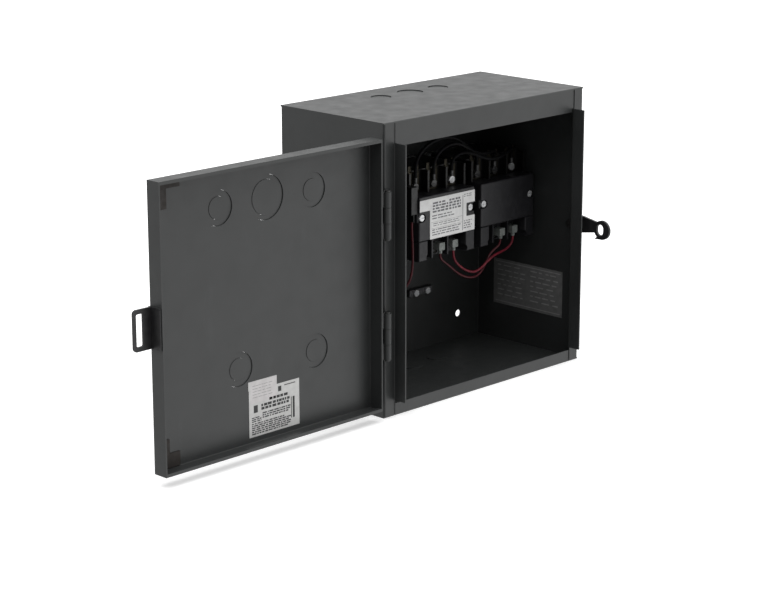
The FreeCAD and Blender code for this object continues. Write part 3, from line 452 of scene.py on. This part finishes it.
def door_label_print():
    rng = random.Random(11)
    lowest = low("door_labels")
    highest = high("door_labels")
    main_top = lowest.z + 47.0 * MM
    corner = Vector((lowest.x + 0.6 * MM, lowest.y, main_top))
    sheet = Sheet(corner, Vector((66.0 * MM, 0, 0)), Vector((0, 0, -47.0 * MM)))
    marks = [(0.865, 0.36, 0.905, 0.82), (0.09, 0.33, 0.17, 0.49), (0.575, 0.06, 0.64, 0.17),
             (0.70, 0.055, 0.92, 0.075), (0.83, 0.36, 0.845, 0.82)]
    marks += printed_rows(rng, 0.40, 0.24, 0.80, 0.32, 1, 0.70)
    marks += printed_rows(rng, 0.24, 0.335, 0.82, 0.48, 2, 0.76, (0.03, 0.08))
    marks += printed_rows(rng, 0.26, 0.52, 0.82, 0.66, 3, 0.62)
    marks += printed_rows(rng, 0.05, 0.58, 0.24, 0.70, 3, 0.60)
    marks += printed_rows(rng, 0.05, 0.71, 0.83, 0.97, 6, 0.62)
    print_piece("door_label_ink", sheet, marks, "ink", "door")
    tag = Sheet(Vector((lowest.x + 2.6 * MM, lowest.y, highest.z - 0.4 * MM)),
                Vector((34.0 * MM, 0, 0)), Vector((0, 0, -22.0 * MM)))
    print_piece("door_tag_face", tag, [(0, 0, 1, 1)], "tag_film", "door", PRINT_LIFT)
    rows = printed_rows(rng, 0.08, 0.20, 0.86, 0.86, 5, 0.16, (0.05, 0.20), 0.03)
    print_piece("door_tag_print", tag, rows, "tag_ink", "door", 2 * PRINT_LIFT)


def nameplate_print():
    rng = random.Random(23)
    lowest = low("left_nameplate")
    highest = high("left_nameplate")
    size = highest - lowest
    sheet = Sheet(Vector((lowest.x, lowest.y, highest.z)), Vector((size.x, 0, 0)),
                  Vector((0, 0, -size.z)))
    marks = [(0.775, 0.08, 0.784, 0.96), (0.20, 0.585, 0.77, 0.59), (0.20, 0.74, 0.77, 0.745)]
    marks += printed_rows(rng, 0.23, 0.10, 0.51, 0.38, 4, 0.62, (0.03, 0.10))
    marks += printed_rows(rng, 0.53, 0.10, 0.74, 0.38, 4, 0.66, (0.03, 0.08))
    marks += printed_rows(rng, 0.22, 0.42, 0.62, 0.55, 2, 0.40)
    marks += printed_rows(rng, 0.24, 0.62, 0.74, 0.72, 2, 0.34)
    marks += printed_rows(rng, 0.22, 0.77, 0.74, 0.95, 3, 0.40)
    marks += printed_rows(rng, 0.80, 0.06, 0.95, 0.16, 2, 0.34, (0.02, 0.05))
    marks += printed_rows(rng, 0.80, 0.72, 0.95, 0.95, 4, 0.40, (0.02, 0.06))
    print_piece("nameplate_print", sheet, marks, "plate_ink", "case")


def wall_label_print():
    rng = random.Random(37)
    lowest = low("wall_label")
    highest = high("wall_label")
    size = highest - lowest
    sheet = Sheet(Vector((lowest.x, highest.y, highest.z)), Vector((0, -size.y, 0)),
                  Vector((0, 0, -size.z)))
    marks = [(0.03, 0.05, 0.97, 0.065), (0.03, 0.93, 0.97, 0.945)]
    marks += printed_rows(rng, 0.06, 0.12, 0.46, 0.88, 7, 0.22, (0.04, 0.12), 0.03)
    marks += printed_rows(rng, 0.54, 0.12, 0.94, 0.88, 7, 0.22, (0.04, 0.12), 0.03)
    print_piece("wall_label_lines", sheet, marks, "wall_ink", "case")


# ---- stage ----------------------------------------------------------------------------------
CAMERA_AT = Vector((-1.7032, -1.6875, 0.5553))
CAMERA_LOOK = Vector((0.68858, 0.67781, -0.25772))
CAMERA_LENS = 103.37
FLOOR_REACH = 30.0
SUN_ENERGY = 2.2
SUN_ANGLE = 70.0
SUN_AT = Vector((-0.6, -0.3, 3.0))
# Each part of the surround: an axis, then the range of its cosine and the two brightnesses.
SKY_PARTS = (
    ((0.70, -0.70, -0.10), (-1.0, 1.0, 0.72, 1.22)),
    ((-0.70, -0.68, 0.20), (0.25, 0.90, 1.0, 0.30)),
)


def floor():
    mesh = bpy.data.meshes.new("floor")
    z = CASE_LOW.z
    reach = FLOOR_REACH
    mesh.from_pydata([(-reach, -reach, z), (reach, -reach, z), (reach, reach, z),
                      (-reach, reach, z)], [], [(0, 1, 2, 3)])
    piece = bpy.data.objects.new("floor", mesh)
    bpy.context.scene.collection.objects.link(piece)
    s = Shader("floor_white")
    s.set(Base_Color=(0.86, 0.86, 0.86, 1), Roughness=0.9, Specular_IOR_Level=0.0,
          Emission_Color=(1, 1, 1, 1), Emission_Strength=0.35)
    mesh.materials.append(s.material)
    piece.visible_diffuse = False
    piece.visible_glossy = False


def overhead_sun():
    """One broad sun over the object's left front, aimed at the origin."""
    data = bpy.data.lights.new("overhead", "SUN")
    data.energy = SUN_ENERGY
    data.angle = math.radians(SUN_ANGLE)
    lamp = bpy.data.objects.new("overhead", data)
    lamp.location = SUN_AT
    lamp.rotation_mode = "QUATERNION"
    lamp.rotation_quaternion = (-SUN_AT).to_track_quat("-Z", "Y")
    bpy.context.scene.collection.objects.link(lamp)


def studio():
    world = bpy.data.worlds.new("studio")
    world.use_nodes = True
    nodes = world.node_tree.nodes
    links = world.node_tree.links
    coords = nodes.new("ShaderNodeTexCoord")
    total = None
    for axis, steps in SKY_PARTS:
        dot = nodes.new("ShaderNodeVectorMath")
        dot.operation = "DOT_PRODUCT"
        dot.inputs[1].default_value = Vector(axis).normalized()
        links.new(coords.outputs["Generated"], dot.inputs[0])
        span = nodes.new("ShaderNodeMapRange")
        span.interpolation_type = "SMOOTHSTEP"
        for socket, value in zip(("From Min", "From Max", "To Min", "To Max"), steps):
            span.inputs[socket].default_value = value
        links.new(dot.outputs["Value"], span.inputs["Value"])
        if total is None:
            total = span.outputs["Result"]
        else:
            times = nodes.new("ShaderNodeMath")
            times.operation = "MULTIPLY"
            links.new(total, times.inputs[0])
            links.new(span.outputs["Result"], times.inputs[1])
            total = times.outputs["Value"]
    nodes["Background"].inputs["Color"].default_value = (1, 1, 1, 1)
    links.new(total, nodes["Background"].inputs["Strength"])
    bpy.context.scene.world = world
    overhead_sun()
    bpy.context.scene.view_settings.view_transform = "Standard"


def camera():
    data = bpy.data.cameras.new("camera")
    data.lens = CAMERA_LENS
    data.sensor_width = 36.0
    data.clip_start = 0.05
    data.clip_end = 100.0
    eye = bpy.data.objects.new("camera", data)
    eye.location = CAMERA_AT
    eye.rotation_mode = "QUATERNION"
    eye.rotation_quaternion = CAMERA_LOOK.to_track_quat("-Z", "Y")
    bpy.context.scene.collection.objects.link(eye)
    bpy.context.scene.camera = eye


# ---- build ----------------------------------------------------------------------------------
camera()
dress_cad_nodes()
wires()
door_label_print()
nameplate_print()
wall_label_print()
floor()
studio()
